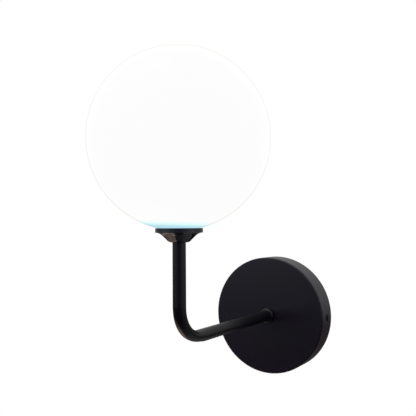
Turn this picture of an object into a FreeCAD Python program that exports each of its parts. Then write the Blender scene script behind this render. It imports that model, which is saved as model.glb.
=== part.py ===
import FreeCAD, Part
import math
import os
import Sketcher
from FreeCAD import Placement, Rotation, Vector

# A globe wall sconce. A round canopy hides a folded strap on the wall, one bent tube runs out from
# it and turns up, and a small flared cup on the tube's end carries a two-pin lamp inside an opal
# globe that screws on.
# Millimetres. The origin is the centre of the canopy's back, on the wall. +Z is up, the arm runs
# along -Y, and +X is to the right of someone who faces the wall.

doc = FreeCAD.newDocument("globe_wall_sconce")
sheet = doc.addObject("Spreadsheet::Sheet", "sizes")

SIZES = [
    # Canopy
    ("canopy_diameter", 120.6, "canopy, outside"),
    ("canopy_depth", 25, "canopy, wall to front face"),
    ("canopy_wall", 1, "canopy sheet"),
    ("canopy_edge_radius", 1.3, "round edge of the canopy's front"),
    ("side_hole_diameter", 7.2, "screw hole in the canopy's side"),
    ("side_hole_from_wall", 12, "screw hole, wall to its axis"),
    # Arm
    ("arm_reach", 190, "wall to lamp axis"),
    ("riser_height", 80.5, "arm axis to the cup's seat"),
    ("bend_radius", 28, "tube bend, on the centre line"),
    ("bore_bend_radius", 30, "tube bend, on the bore's centre line"),
    ("bend_flattening", 1.6, "tube, lost on the outside of the bend"),
    ("bend_widening", 0.2, "tube, gained on each side of the bend"),
    ("bend_lead", 8, "the flattening starts this far before the bend"),
    ("tube_diameter", 11, "tube, outside"),
    ("tube_bore", 7, "tube, inside"),
    ("thread_diameter", 10, "threaded ends of the tube"),
    ("thread_projection", 1.1, "thread that stands past its last nut"),
    ("thread_chamfer", 0.6, "chamfer on a threaded end"),
    ("collar_diameter", 15.2, "collar on the canopy"),
    ("collar_length", 4.6, "collar, off the canopy's face"),
    ("collar_floor", 1.5, "collar floor under the tube's shoulder"),
    ("collar_edge_radius", 1.8, "round edge of the collar"),
    # Clearances
    ("thread_clearance", 0.05, "radial play of a nut or tapped hole in this model"),
    ("hole_clearance", 0.15, "radial play of a clearance hole"),
    ("moving_clearance", 0.35, "radial play of pieces that move past each other"),
    ("seat_gap", 0.3, "pieces that come apart stand this close"),
    # Nuts and washers
    ("nut_across_flats", 14, "tube nuts"),
    ("nut_height", 3, "tube nuts"),
    ("nut_corner_drop", 0.5, "chamfer on a nut's corners"),
    ("lock_washer_diameter", 14.9, "toothed washers on the tube, over the teeth"),
    ("lock_washer_rim", 1.4, "toothed washers, width of the plain ring"),
    ("lock_washer_thickness", 0.7, "toothed washers"),
    ("lock_washer_teeth", 12, "number of teeth"),
    ("flat_washer_diameter", 20, "plain washer in the canopy"),
    ("flat_washer_thickness", 1, "plain washer in the canopy"),
    # Bushings in the tube's ends
    ("bushing_flange_diameter", 9.6, "flange of a bushing"),
    ("bushing_flange_thickness", 0.8, "flange of a bushing"),
    ("bushing_length", 4.5, "spigot of a bushing"),
    ("bushing_bore", 5.2, "hole of a bushing"),
    # Strap on the wall
    ("strap_thickness", 1.5, "strap sheet"),
    ("strap_width", 25, "strap, up and down"),
    ("strap_bend_radius", 1.5, "inside of the strap's folds"),
    ("strap_corner_radius", 3, "round corners of the tabs"),
    ("tab_inset", 3, "outsides of the tabs, in from the canopy's largest diameter"),
    ("tab_height", 17, "tabs, off the wall"),
    ("slot_spacing", 76, "wall-screw slots, centre to centre"),
    ("slot_length", 12, "wall-screw slots, end to end"),
    ("slot_width", 4.5, "wall-screw slots"),
    ("cable_hole_diameter", 14, "supply cable hole"),
    # Set screws in the tabs
    ("side_screw_diameter", 4, "set screws"),
    ("side_screw_length", 7, "set screws"),
    ("side_screw_recess", 0.8, "set screws, below the canopy's side"),
    ("hex_across_flats", 2, "key socket in a set screw"),
    ("hex_depth", 2.4, "key socket in a set screw"),
    # Earth screw and terminal
    ("earth_from_centre", 17, "earth screw, from the middle of the strap"),
    ("earth_screw_diameter", 4, "earth screw"),
    ("earth_head_diameter", 7, "earth screw head"),
    ("earth_head_height", 2.4, "earth screw head"),
    ("earth_washer_diameter", 8, "toothed washer under the earth screw"),
    ("screw_back_gap", 0.2, "screw ends stop this far short of the wall"),
    ("ring_diameter", 8.4, "eye of the ring terminal"),
    ("ring_thickness", 0.8, "ring terminal sheet"),
    ("barrel_start", 5.2, "ring terminal, eye centre to barrel"),
    ("barrel_length", 5, "barrel of the ring terminal"),
    ("barrel_diameter", 3.2, "barrel of the ring terminal"),
    ("earth_angle", 40, "degrees, tilt of the ring terminal's barrel"),
    # Terminal block
    ("block_from_centre", 14.5, "block, from the middle of the strap to its near end"),
    ("block_length", 16, "block, along the strap"),
    ("block_width", 24, "block, up and down"),
    ("block_bar_height", 8.5, "block, bar under the towers"),
    ("block_corner_radius", 1, "block's upright corners"),
    ("pole_pitch", 8, "pole to pole"),
    ("tower_diameter", 6, "tower round a clamp screw"),
    ("tower_height", 5.5, "tower, off the bar"),
    ("wire_height", 5, "wire axis, off the strap"),
    ("insert_diameter", 4.4, "brass insert"),
    ("insert_bore", 2.8, "brass insert, wire hole"),
    ("insert_length", 12, "brass insert"),
    ("clamp_spacing", 8.6, "clamp screws of one pole, along the wire"),
    ("clamp_screw_diameter", 2.5, "clamp screws and block screws"),
    ("clamp_head_diameter", 3.7, "clamp screw heads"),
    ("clamp_head_height", 2.2, "clamp screw heads"),
    ("clamp_head_seat", 9.6, "clamp screw heads, underside off the strap"),
    ("block_screw_head_diameter", 4.6, "heads of the block's fixing screws"),
    ("block_screw_head_height", 1.9, "heads of the block's fixing screws"),
    ("driver_slot_width", 0.7, "slots in screw heads"),
    ("driver_slot_depth", 0.9, "slots in screw heads"),
    # Leads
    ("lead_diameter", 1.6, "leads over their insulation"),
    ("lead_spacing", 2.1, "the two leads side by side in the tube"),
    ("lead_entry", 3, "leads, how far into an insert"),
    ("lead_seat_gap", 0.3, "clamp screw to lead"),
    # Fitter cup
    ("cup_diameter", 39, "cup, outside of the band"),
    ("cup_height", 11.6, "cup, seat to rim"),
    ("cup_band_height", 3.6, "straight band at the cup's rim"),
    ("cup_wall", 1.2, "cup wall"),
    ("cup_foot_diameter", 16.2, "cup, where the 45 degree cone meets the seat"),
    ("cup_foot_radius", 5, "round between seat and cone"),
    ("flare_start_height", 5.3, "cup, where the cone turns into the flare"),
    # Threaded carrier
    ("carrier_diameter", 22.5, "carrier over its thread"),
    ("carrier_bore", 19.6, "carrier, inside"),
    ("carrier_height", 20, "carrier"),
    ("carrier_floor", 1.2, "carrier floor"),
    ("carrier_chamfer", 0.5, "carrier's edges"),
    # Lampholder
    ("holder_diameter", 19.2, "holder, wide part"),
    ("holder_neck_diameter", 17.2, "holder, upper part"),
    ("holder_height", 24.4, "holder"),
    ("holder_shoulder_height", 16.4, "holder, foot to shoulder"),
    ("holder_chamber_diameter", 16.8, "wiring chamber in the holder"),
    ("holder_chamber_height", 12, "wiring chamber in the holder"),
    ("ring_groove_depth", 0.65, "groove in the carrier for the retaining ring"),
    ("retaining_ring_thickness", 1, "retaining ring"),
    ("retaining_ring_bore", 17.8, "retaining ring"),
    ("retaining_ring_gap", 4, "gap in the retaining ring"),
    ("recess_length", 13.2, "recess for the lamp's base"),
    ("recess_width", 7.4, "recess for the lamp's base"),
    ("recess_depth", 2, "recess for the lamp's base"),
    ("pin_spacing", 9, "lamp pins, centre to centre"),
    ("pocket_length", 3.3, "contact pocket"),
    ("pocket_width", 2.7, "contact pocket"),
    ("pocket_height", 9, "contact pocket"),
    ("pin_slot_width", 1.6, "slot over a contact pocket"),
    # Contact springs
    ("contact_length", 2.8, "contact, along the pin loop"),
    ("contact_height", 8.2, "contact"),
    ("contact_sheet", 0.4, "contact sheet"),
    ("contact_lift", 0.4, "contact, above the wiring chamber's roof"),
    ("contact_tail_length", 1.5, "crimp tail below the contact"),
    ("contact_tail_width", 1.8, "crimp tail"),
    # Lamp
    ("lamp_base_length", 12.6, "lamp base"),
    ("lamp_base_width", 6.8, "lamp base"),
    ("lamp_base_height", 9, "lamp base"),
    ("lamp_flange_thickness", 1.2, "round flange that the envelope stands on"),
    ("lamp_spigot_height", 2, "round spigot in the envelope"),
    ("lamp_diameter", 16, "lamp envelope"),
    ("lamp_wall", 0.8, "lamp envelope"),
    ("lamp_length", 50.7, "lamp, underside of its base to its top"),
    ("pin_length", 6.8, "lamp pins"),
    ("pin_wire_diameter", 0.8, "wire of a pin loop"),
    ("pin_loop_width", 2.3, "pin loop, outside"),
    ("led_board_width", 9.6, "lamp's light board"),
    ("led_board_thickness", 1.2, "lamp's light board"),
    ("led_board_height", 30, "lamp's light board"),
    ("led_size", 2.8, "light chip"),
    ("led_thickness", 0.6, "light chip"),
    ("led_pitch", 5.4, "light chip to light chip"),
    # Globe and its seal
    ("globe_diameter", 150, "globe, outside"),
    ("globe_wall", 2.5, "opal glass"),
    ("neck_diameter", 29, "globe's neck, outside"),
    ("neck_drop", 3.5, "globe's neck, below the cup's rim"),
    ("glass_edge_radius", 0.8, "melted edge of the neck"),
    ("neck_fillet_radius", 1, "round between neck and globe"),
    ("rim_gap", 0.3, "globe, above the cup's rim"),
    ("seal_thickness", 1.5, "seal on the globe's neck"),
    ("seal_edge_radius", 0.4, "seal's edges"),
]

# Side screws, contacts and pins come in pairs, one on +X and one on -X.
PAIR = {"right": 1, "left": -1}
POLES = {"earth": 1, "neutral": 0, "live": -1}
LED_ROWS = 5


def fill_sheet():
    for row, (alias, value, meaning) in enumerate(SIZES, start=1):
        sheet.set(f"A{row}", meaning)
        sheet.set(f"B{row}", str(value))
        sheet.setAlias(f"B{row}", alias)
    doc.recompute()


fill_sheet()


def value(expression):
    """What an expression in the sheet's names comes to, as a plain number."""
    return float(sheet.evalExpression(expression))


# Places that several pieces share, worked out from the sheet.

THREAD_HOLE = "(sizes.thread_diameter / 2 + sizes.hole_clearance)"
NUT_BORE = "(sizes.thread_diameter / 2 + sizes.thread_clearance)"

# Distances from the wall.
CANOPY_INSIDE = "(sizes.canopy_depth - sizes.canopy_wall)"
WALL_SHOULDER = "(sizes.canopy_depth + sizes.collar_floor)"
CANOPY_LOCK = f"({CANOPY_INSIDE} - sizes.flat_washer_thickness - sizes.lock_washer_thickness)"
CANOPY_NUT = f"({CANOPY_LOCK} - sizes.nut_height)"
WALL_END = f"({CANOPY_NUT} - sizes.thread_projection)"
WIRE_LINE = "(sizes.strap_thickness + sizes.wire_height)"
BARREL_LINE = "(sizes.strap_thickness + sizes.barrel_diameter / 2)"

TAB_SPACING = "(sizes.canopy_diameter - 2 * sizes.tab_inset)"

# Where a lead ends in its insert, from the middle of the strap.
LEAD_END = "(sizes.block_from_centre + (sizes.block_length - sizes.insert_length) / 2 + sizes.lead_entry)"

# Heights above the arm's axis.
CUP_SEAT = "sizes.riser_height"
CUP_FLOOR = f"({CUP_SEAT} + sizes.cup_wall)"
CUP_RIM = f"({CUP_SEAT} + sizes.cup_height)"
CUP_NUT = f"({CUP_FLOOR} + sizes.lock_washer_thickness)"
CARRIER_SEAT = f"({CUP_NUT} + sizes.nut_height)"
HOLDER_SEAT = f"({CARRIER_SEAT} + sizes.carrier_floor)"
LAMP_END = f"({HOLDER_SEAT} + sizes.nut_height + sizes.thread_projection)"
CHAMBER_ROOF = f"({HOLDER_SEAT} + sizes.holder_chamber_height)"
HOLDER_SHOULDER = f"({HOLDER_SEAT} + sizes.holder_shoulder_height)"
HOLDER_TOP = f"({HOLDER_SEAT} + sizes.holder_height)"
RECESS_FLOOR = f"({HOLDER_TOP} - sizes.recess_depth)"
CONTACT_FOOT = f"({CHAMBER_ROOF} + sizes.contact_lift)"
TAIL_END = f"({CONTACT_FOOT} - sizes.contact_tail_length)"
LAMP_FOOT = f"({RECESS_FLOOR} + sizes.seat_gap)"
LAMP_SHOULDER = f"({LAMP_FOOT} + sizes.lamp_base_height)"
LAMP_FLANGE = f"({LAMP_SHOULDER} + sizes.lamp_flange_thickness)"
LAMP_BOARD = f"({LAMP_FLANGE} + sizes.lamp_spigot_height)"

# The globe stands clear of the inside edge of the cup's rim.
GLOBE_RADIUS = "(sizes.globe_diameter / 2)"
GLOBE_INSIDE = f"({GLOBE_RADIUS} - sizes.globe_wall)"
RIM_INSIDE = "(sizes.cup_diameter / 2 - sizes.cup_wall)"
GLOBE_CENTRE = f"({CUP_RIM} + sizes.rim_gap + sqrt({GLOBE_RADIUS} ^ 2 - {RIM_INSIDE} ^ 2))"
NECK_END = f"({CUP_RIM} - sizes.neck_drop)"
NECK_BORE = "(sizes.carrier_diameter / 2 + sizes.moving_clearance)"


def wall_frame(body, out="0", across="0", up="0", turn=0):
    """Places a body whose own z leaves the wall, whose x is +X and whose y is up."""
    body.Placement = Placement(Vector(), Rotation(Vector(1, 0, 0), 90) * Rotation(Vector(0, 0, 1), turn))
    body.setExpression("Placement.Base.x", across)
    body.setExpression("Placement.Base.y", f"-{out}")
    body.setExpression("Placement.Base.z", up)


def lamp_frame(body, up="0", across="0"):
    """Places a body whose own z is the lamp's axis."""
    body.setExpression("Placement.Base.x", across)
    body.setExpression("Placement.Base.y", "-sizes.arm_reach")
    body.setExpression("Placement.Base.z", up)


def new_body(label):
    body = doc.addObject("PartDesign::Body", label)
    body.Label = label
    return body


def new_sketch(body, name, role, offset="0"):
    """A sketch on one of the body's own origin planes, moved along that plane's normal."""
    plane = next(item for item in body.Origin.OriginFeatures if item.Role == role)
    sketch = body.newObject("Sketcher::SketchObject", f"{body.Label}_{name}")
    sketch.AttachmentSupport = [(plane, "")]
    sketch.MapMode = "FlatFace"
    sketch.setExpression("AttachmentOffset.Base.z", offset)
    return sketch


def bind(sketch, kind, references, expression):
    number = sketch.addConstraint(Sketcher.Constraint(kind, *references, value(expression)))
    sketch.setExpression(f"Constraints[{number}]", expression)


def pin_point(sketch, edge, end, across, up):
    bind(sketch, "DistanceX", (-1, 1, edge, end), across)
    bind(sketch, "DistanceY", (-1, 1, edge, end), up)


def middle_of_arc(start, end, radius, side):
    """The middle point of the shorter arc, on the named side of the way from start to end."""
    chord = end - start
    half = chord.Length / 2
    rise = radius - math.sqrt(max(radius ** 2 - half ** 2, 0))
    left = Vector(-chord.y, chord.x, 0).normalize()
    return (start + end) / 2 + left * (rise if side == "left" else -rise)


def trace(sketch, corners, closed=True):
    """Draws lines and arcs through corners, each bound to the sheet.

    A corner is (across, up), or (across, up, radius, side) where an arc leads on from it and bows
    to that side of the way. A radius of "half" is a half circle.
    """
    places = [Vector(value(corner[0]), value(corner[1]), 0) for corner in corners]
    last = len(corners) if closed else len(corners) - 1
    starts = []
    ends = []
    for index in range(last):
        start = places[index]
        end = places[(index + 1) % len(corners)]
        arc = corners[index][2:]
        if not arc:
            edge = sketch.addGeometry(Part.LineSegment(start, end), False)
            starts.append((edge, 1))
            ends.append((edge, 2))
            continue
        radius = (end - start).Length / 2 if arc[0] == "half" else value(arc[0])
        middle = middle_of_arc(start, end, radius, arc[1])
        edge = sketch.addGeometry(Part.Arc(start, middle, end), False)
        first = 1 if (sketch.getPoint(edge, 1) - start).Length < 1e-6 else 2
        starts.append((edge, first))
        ends.append((edge, 3 - first))
    for index in range(last):
        following = (index + 1) % len(corners)
        if following < last:
            sketch.addConstraint(Sketcher.Constraint("Coincident", *ends[index], *starts[following]))
    for index in range(last):
        pin_point(sketch, *starts[index], *corners[index][:2])
    if not closed:
        pin_point(sketch, *ends[-1], *corners[-1][:2])
    for index in range(last):
        arc = corners[index][2:]
        if arc and arc[0] != "half":
            bind(sketch, "Radius", (starts[index][0],), arc[0])
        elif arc:
            upright = abs(places[index].x - places[(index + 1) % len(corners)].x) < 1e-6
            kind = "DistanceX" if upright else "DistanceY"
            bind(sketch, kind, (-1, 1, starts[index][0], 3), corners[index][0 if upright else 1])


def circle(sketch, across, up, radius):
    centre = Vector(value(across), value(up), 0)
    edge = sketch.addGeometry(Part.Circle(centre, Vector(0, 0, 1), value(radius)), False)
    pin_point(sketch, edge, 3, across, up)
    bind(sketch, "Radius", (edge,), radius)


def box_corners(low_across, low_up, high_across, high_up):
    return [(low_across, low_up), (high_across, low_up), (high_across, high_up), (low_across, high_up)]


def centred_box(across, up, length, width):
    """Corners of a rectangle round a middle point."""
    half_length = f"({length}) / 2"
    half_width = f"({width}) / 2"
    return box_corners(
        f"{across} - {half_length}", f"{up} - {half_width}",
        f"{across} + {half_length}", f"{up} + {half_width}",
    )


def slot_corners(across, up, length, width):
    """A slot that runs across, end to end."""
    reach = f"(({length}) - ({width})) / 2"
    side = f"({width}) / 2"
    return [
        (f"{across} - {reach}", f"{up} - {side}"),
        (f"{across} + {reach}", f"{up} - {side}", "half", "right"),
        (f"{across} + {reach}", f"{up} + {side}"),
        (f"{across} - {reach}", f"{up} + {side}", "half", "right"),
    ]


def pad(body, sketch, length, reverse=False, both_ways=False):
    feature = body.newObject("PartDesign::Pad", f"{sketch.Name}_pad")
    feature.Profile = sketch
    feature.Reversed = reverse
    feature.SideType = "Symmetric" if both_ways else "One side"
    feature.setExpression("Length", length)
    doc.recompute()
    return feature


def must_shrink(feature, before):
    doc.recompute()
    if feature.Shape.Volume > before - 1e-6:
        raise ValueError(f"{feature.Name} cuts nothing")
    return feature


def pocket(body, sketch, length, reverse=False, both_ways=False):
    before = body.Shape.Volume
    feature = body.newObject("PartDesign::Pocket", f"{sketch.Name}_pocket")
    feature.Profile = sketch
    feature.Reversed = reverse
    feature.SideType = "Symmetric" if both_ways else "One side"
    feature.setExpression("Length", length)
    return must_shrink(feature, before)


def turned(body, name, corners):
    """A solid of revolution round the body's z, from corners (radius, height)."""
    sketch = new_sketch(body, name, "XZ_Plane")
    trace(sketch, corners)
    feature = body.newObject("PartDesign::Revolution", f"{sketch.Name}_turned")
    feature.Profile = sketch
    feature.ReferenceAxis = (sketch, ["V_Axis"])
    feature.Angle = 360
    doc.recompute()
    return feature


def grooved(body, name, corners):
    before = body.Shape.Volume
    sketch = new_sketch(body, name, "XZ_Plane")
    trace(sketch, corners)
    feature = body.newObject("PartDesign::Groove", f"{sketch.Name}_groove")
    feature.Profile = sketch
    feature.ReferenceAxis = (sketch, ["V_Axis"])
    feature.Angle = 360
    return must_shrink(feature, before)


def edge_names(feature, wanted):
    return [f"Edge{number}" for number, edge in enumerate(feature.Shape.Edges, start=1) if wanted(edge)]


def dress(body, kind, feature, wanted, size):
    """A fillet or a chamfer on the wanted edges of a feature."""
    names = edge_names(feature, wanted)
    if not names:
        raise ValueError(f"{body.Label} has no edge to {kind.lower()}")
    result = body.newObject(f"PartDesign::{kind}", f"{body.Label}_{kind.lower()}")
    result.Base = (feature, names)
    result.setExpression("Radius" if kind == "Fillet" else "Size", size)
    doc.recompute()
    return result


def round_edge(edge):
    """True for an edge that is a circle or a part of one."""
    return not edge.Degenerated and isinstance(edge.Curve, Part.Circle)


def is_circle(edge, radius, height):
    """True for a circle round the body's z with that radius and height."""
    if not round_edge(edge):
        return False
    centre = edge.Curve.Center
    on_axis = math.hypot(centre.x, centre.y) < 1e-4
    return on_axis and abs(edge.Curve.Radius - radius) < 1e-4 and abs(centre.z - height) < 1e-4


def group(label, members):
    """Like pieces that share one node, each its own solid."""
    compound = doc.addObject("Part::Compound", label)
    compound.Label = label
    compound.Links = members
    return compound


# Canopy and collar

def make_canopy():
    body = new_body("canopy")
    wall_frame(body)
    outside = "sizes.canopy_diameter / 2"
    inside = f"{outside} - sizes.canopy_wall"
    edge = "sizes.canopy_edge_radius"
    turned(body, "profile", [
        (THREAD_HOLE, "sizes.canopy_depth"),
        (THREAD_HOLE, CANOPY_INSIDE),
        (f"{outside} - {edge}", CANOPY_INSIDE, f"{edge} - sizes.canopy_wall", "left"),
        (inside, f"sizes.canopy_depth - {edge}"),
        (inside, "0"),
        (outside, "0"),
        (outside, f"sizes.canopy_depth - {edge}", edge, "right"),
        (f"{outside} - {edge}", "sizes.canopy_depth"),
    ])
    sides = new_sketch(body, "side_holes", "YZ_Plane")
    circle(sides, "0", "sizes.side_hole_from_wall", "sizes.side_hole_diameter / 2")
    pocket(body, sides, "sizes.canopy_diameter + 2", both_ways=True)
    return body


def make_arm_collar():
    body = new_body("arm_collar")
    wall_frame(body, "sizes.canopy_depth")
    outside = "sizes.collar_diameter / 2"
    edge = "sizes.collar_edge_radius"
    socket = "sizes.tube_diameter / 2 + sizes.thread_clearance"
    turned(body, "profile", [
        (NUT_BORE, "0"),
        (outside, "0"),
        (outside, f"sizes.collar_length - {edge}", edge, "right"),
        (f"{outside} - {edge}", "sizes.collar_length"),
        (socket, "sizes.collar_length"),
        (socket, "sizes.collar_floor"),
        (NUT_BORE, "sizes.collar_floor"),
    ])
    return body


# Arm tube

def arm_path(body, name, wall_start, lamp_end, bend):
    """The way of the tube or of its bore, seen from the side, between two stations."""
    sketch = new_sketch(body, name, "YZ_Plane")
    reach = "sizes.arm_reach"
    corners = [
        (f"-{wall_start}", "0"),
        (f"-({reach} - {bend})", "0", bend, "left"),
        (f"-{reach}", bend),
    ]
    if value(lamp_end) > value(bend):
        corners.append((f"-{reach}", lamp_end))
    trace(sketch, corners, closed=False)
    return sketch


def swept(body, kind, profile, path):
    feature = body.newObject(f"PartDesign::{kind}", f"{profile.Name}_swept")
    feature.Profile = profile
    feature.Spine = (path, [])
    doc.recompute()
    return feature


BEND_START = "(sizes.arm_reach - sizes.bend_radius)"
OVAL_START = f"({BEND_START} - sizes.bend_lead)"

# How far round the bend a section stands, in degrees, and its share of the flattening.
BEND_SECTIONS = [(0, 0.6), (22.5, 0.9), (45, 0.5), (67.5, 0.15)]


def bend_section(body, turn, share):
    """An oval section of the bend: flat towards the outside, a little wide, its own y inwards."""
    sketch = body.newObject("Sketcher::SketchObject", f"{body.Label}_bend_section")
    sketch.Placement = Placement(Vector(), Rotation(Vector(1, 0, 0), 90 - turn))
    sketch.setExpression("Placement.Base.y", f"-{BEND_START} - sizes.bend_radius * sin({turn})")
    sketch.setExpression("Placement.Base.z", f"sizes.bend_radius * (1 - cos({turn}))")
    lost = f"(sizes.bend_flattening * {share})"
    half_width = f"(sizes.tube_diameter / 2 + sizes.bend_widening * {share})"
    half_height = f"(sizes.tube_diameter / 2 - {lost} / 2)"
    centre = Vector(0, value(lost) / 2, 0)
    side = centre + Vector(value(half_width), 0, 0)
    top = centre + Vector(0, value(half_height), 0)
    edge = sketch.addGeometry(Part.Ellipse(side, top, centre), False)
    sketch.exposeInternalGeometry(edge)
    width_line = edge + 1
    height_line = edge + 2
    pin_point(sketch, width_line, 1, half_width, f"{lost} / 2")
    pin_point(sketch, width_line, 2, f"-{half_width}", f"{lost} / 2")
    bind(sketch, "Distance", (height_line,), f"2 * {half_height}")
    return sketch


def add_bend(body):
    """The bend and the straight just before it, swept through round and oval sections."""
    start = new_sketch(body, "bend_start", "XZ_Plane", OVAL_START)
    circle(start, "0", "0", "sizes.tube_diameter / 2")
    end = new_sketch(body, "bend_end", "XY_Plane", "sizes.bend_radius")
    circle(end, "0", "-sizes.arm_reach", "sizes.tube_diameter / 2")
    middle = [bend_section(body, turn, share) for turn, share in BEND_SECTIONS]
    bend = body.newObject("PartDesign::AdditivePipe", "bend")
    bend.Profile = start
    bend.Spine = (arm_path(body, "bend_way", OVAL_START, "sizes.bend_radius", "sizes.bend_radius"), [])
    bend.Transformation = "Multisection"
    bend.Sections = middle + [end]
    doc.recompute()


def make_arm_tube():
    body = new_body("arm_tube")
    arm = new_sketch(body, "arm", "XZ_Plane", WALL_SHOULDER)
    circle(arm, "0", "0", "sizes.tube_diameter / 2")
    pad(body, arm, f"{OVAL_START} - {WALL_SHOULDER}")
    add_bend(body)
    riser = new_sketch(body, "riser", "XY_Plane", "sizes.bend_radius")
    circle(riser, "0", "-sizes.arm_reach", "sizes.tube_diameter / 2")
    pad(body, riser, f"{CUP_SEAT} - sizes.bend_radius")
    wall_thread = new_sketch(body, "wall_thread", "XZ_Plane", WALL_END)
    circle(wall_thread, "0", "0", "sizes.thread_diameter / 2")
    pad(body, wall_thread, f"{WALL_SHOULDER} - {WALL_END}")
    lamp_thread = new_sketch(body, "lamp_thread", "XY_Plane", CUP_SEAT)
    circle(lamp_thread, "0", "-sizes.arm_reach", "sizes.thread_diameter / 2")
    threaded = pad(body, lamp_thread, f"{LAMP_END} - {CUP_SEAT}")

    def thread_end(edge):
        if not round_edge(edge):
            return False
        centre = edge.Curve.Center
        at_wall = abs(centre.y + value(WALL_END)) < 1e-4
        at_lamp = abs(centre.z - value(LAMP_END)) < 1e-4
        return at_wall or at_lamp

    dress(body, "Chamfer", threaded, thread_end, "sizes.thread_chamfer")
    before = body.Shape.Volume
    bore = new_sketch(body, "bore", "XZ_Plane", WALL_END)
    circle(bore, "0", "0", "sizes.tube_bore / 2")
    hollow = swept(body, "SubtractivePipe", bore,
                   arm_path(body, "bore_path", WALL_END, LAMP_END, "sizes.bore_bend_radius"))
    must_shrink(hollow, before)
    return body


# Nuts, washers and bushings on the tube's ends

def make_nut(label):
    body = new_body(label)
    corner = "(sizes.nut_across_flats / 2 / cos(30))"
    sketch = new_sketch(body, "hexagon", "XY_Plane")
    turns = [60 * step for step in range(6)]
    trace(sketch, [(f"{corner} * cos({turn})", f"{corner} * sin({turn})") for turn in turns])
    circle(sketch, "0", "0", NUT_BORE)
    pad(body, sketch, "sizes.nut_height")
    flat = "sizes.nut_across_flats / 2"
    past = f"{corner} + 1"
    slope = "sizes.nut_corner_drop"
    run = f"({corner} - {flat})"
    drop_past = f"({slope} * (1 + {run}) / {run})"
    grooved(body, "upper_corners", [
        (flat, "sizes.nut_height"),
        (past, "sizes.nut_height"),
        (past, f"sizes.nut_height - {drop_past}"),
    ])
    grooved(body, "lower_corners", [(flat, "0"), (past, "0"), (past, drop_past)])
    return body


def make_lock_washer(label, bore, diameter, rim):
    """A plain ring with teeth round its outside."""
    body = new_body(label)
    ring = new_sketch(body, "ring", "XY_Plane")
    circle(ring, "0", "0", f"{bore} + {rim}")
    circle(ring, "0", "0", bore)
    pad(body, ring, "sizes.lock_washer_thickness")
    tooth = new_sketch(body, "tooth", "XY_Plane")
    root = f"{bore} + {rim} / 2"
    trace(tooth, centred_box(f"({root} + {diameter} / 2) / 2", "0", f"{diameter} / 2 - ({root})",
                             f"{diameter} / sizes.lock_washer_teeth * 1.7"))
    first = pad(body, tooth, "sizes.lock_washer_thickness")
    teeth = body.newObject("PartDesign::PolarPattern", f"{label}_teeth")
    teeth.Originals = [first]
    teeth.Axis = (tooth, ["N_Axis"])
    teeth.Angle = 360
    teeth.setExpression("Occurrences", "sizes.lock_washer_teeth")
    body.Tip = teeth
    doc.recompute()
    return body


def make_flat_washer():
    body = new_body("canopy_flat_washer")
    wall_frame(body, f"({CANOPY_INSIDE} - sizes.flat_washer_thickness)")
    sketch = new_sketch(body, "ring", "XY_Plane")
    circle(sketch, "0", "0", "sizes.flat_washer_diameter / 2")
    circle(sketch, "0", "0", THREAD_HOLE)
    pad(body, sketch, "sizes.flat_washer_thickness")
    return body


def make_bushing(label):
    """A flanged guard. Its own z points out of the tube's end, and z 0 is that end."""
    body = new_body(label)
    bore = "sizes.bushing_bore / 2"
    spigot = "sizes.tube_bore / 2 - sizes.thread_clearance"
    turned(body, "profile", [
        (bore, "-sizes.bushing_length"),
        (spigot, "-sizes.bushing_length"),
        (spigot, "0"),
        ("sizes.bushing_flange_diameter / 2", "0"),
        ("sizes.bushing_flange_diameter / 2", "sizes.bushing_flange_thickness"),
        (bore, "sizes.bushing_flange_thickness"),
    ])
    return body


# Strap, set screws and earth

def make_mounting_strap():
    body = new_body("mounting_strap")
    wall_frame(body)
    sheet_thickness = "sizes.strap_thickness"
    inner = "sizes.strap_bend_radius"
    outer = f"({inner} + {sheet_thickness})"
    half = f"{TAB_SPACING} / 2"
    right_side = [
        (f"{half} - {outer}", "0", outer, "right"),
        (half, outer),
        (half, "sizes.tab_height"),
        (f"{half} - {sheet_thickness}", "sizes.tab_height"),
        (f"{half} - {sheet_thickness}", outer, inner, "left"),
        (f"{half} - {outer}", sheet_thickness),
    ]
    left_side = [
        (f"-({half} - {outer})", sheet_thickness, inner, "left"),
        (f"-({half} - {sheet_thickness})", outer),
        (f"-({half} - {sheet_thickness})", "sizes.tab_height"),
        (f"-({half})", "sizes.tab_height"),
        (f"-({half})", outer, outer, "right"),
        (f"-({half} - {outer})", "0"),
    ]
    fold = new_sketch(body, "fold", "XZ_Plane")
    trace(fold, right_side + left_side)
    plain = pad(body, fold, "sizes.strap_width", both_ways=True)

    def tab_corner(edge):
        middle = edge.CenterOfMass
        high = abs(middle.z - value("sizes.tab_height")) < 1e-4
        at_side = abs(abs(middle.y) - value("sizes.strap_width / 2")) < 1e-4
        return high and at_side

    dress(body, "Fillet", plain, tab_corner, "sizes.strap_corner_radius")
    face = new_sketch(body, "face_holes", "XY_Plane")
    circle(face, "0", "0", "sizes.cable_hole_diameter / 2")
    circle(face, "-sizes.earth_from_centre", "0", "sizes.earth_screw_diameter / 2 + sizes.thread_clearance")
    for side in PAIR.values():
        slot = slot_corners(f"{side} * sizes.slot_spacing / 2", "0", "sizes.slot_length", "sizes.slot_width")
        trace(face, slot)
        circle(face, "sizes.block_from_centre + sizes.block_length / 2", f"{side} * sizes.pole_pitch / 2",
               "sizes.clamp_screw_diameter / 2 + sizes.thread_clearance")
    pocket(body, face, "sizes.strap_thickness", reverse=True)
    tabs = new_sketch(body, "tab_holes", "YZ_Plane")
    circle(tabs, "0", "sizes.side_hole_from_wall", "sizes.side_screw_diameter / 2 + sizes.thread_clearance")
    pocket(body, tabs, f"{TAB_SPACING} + 2", both_ways=True)
    return body


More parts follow.
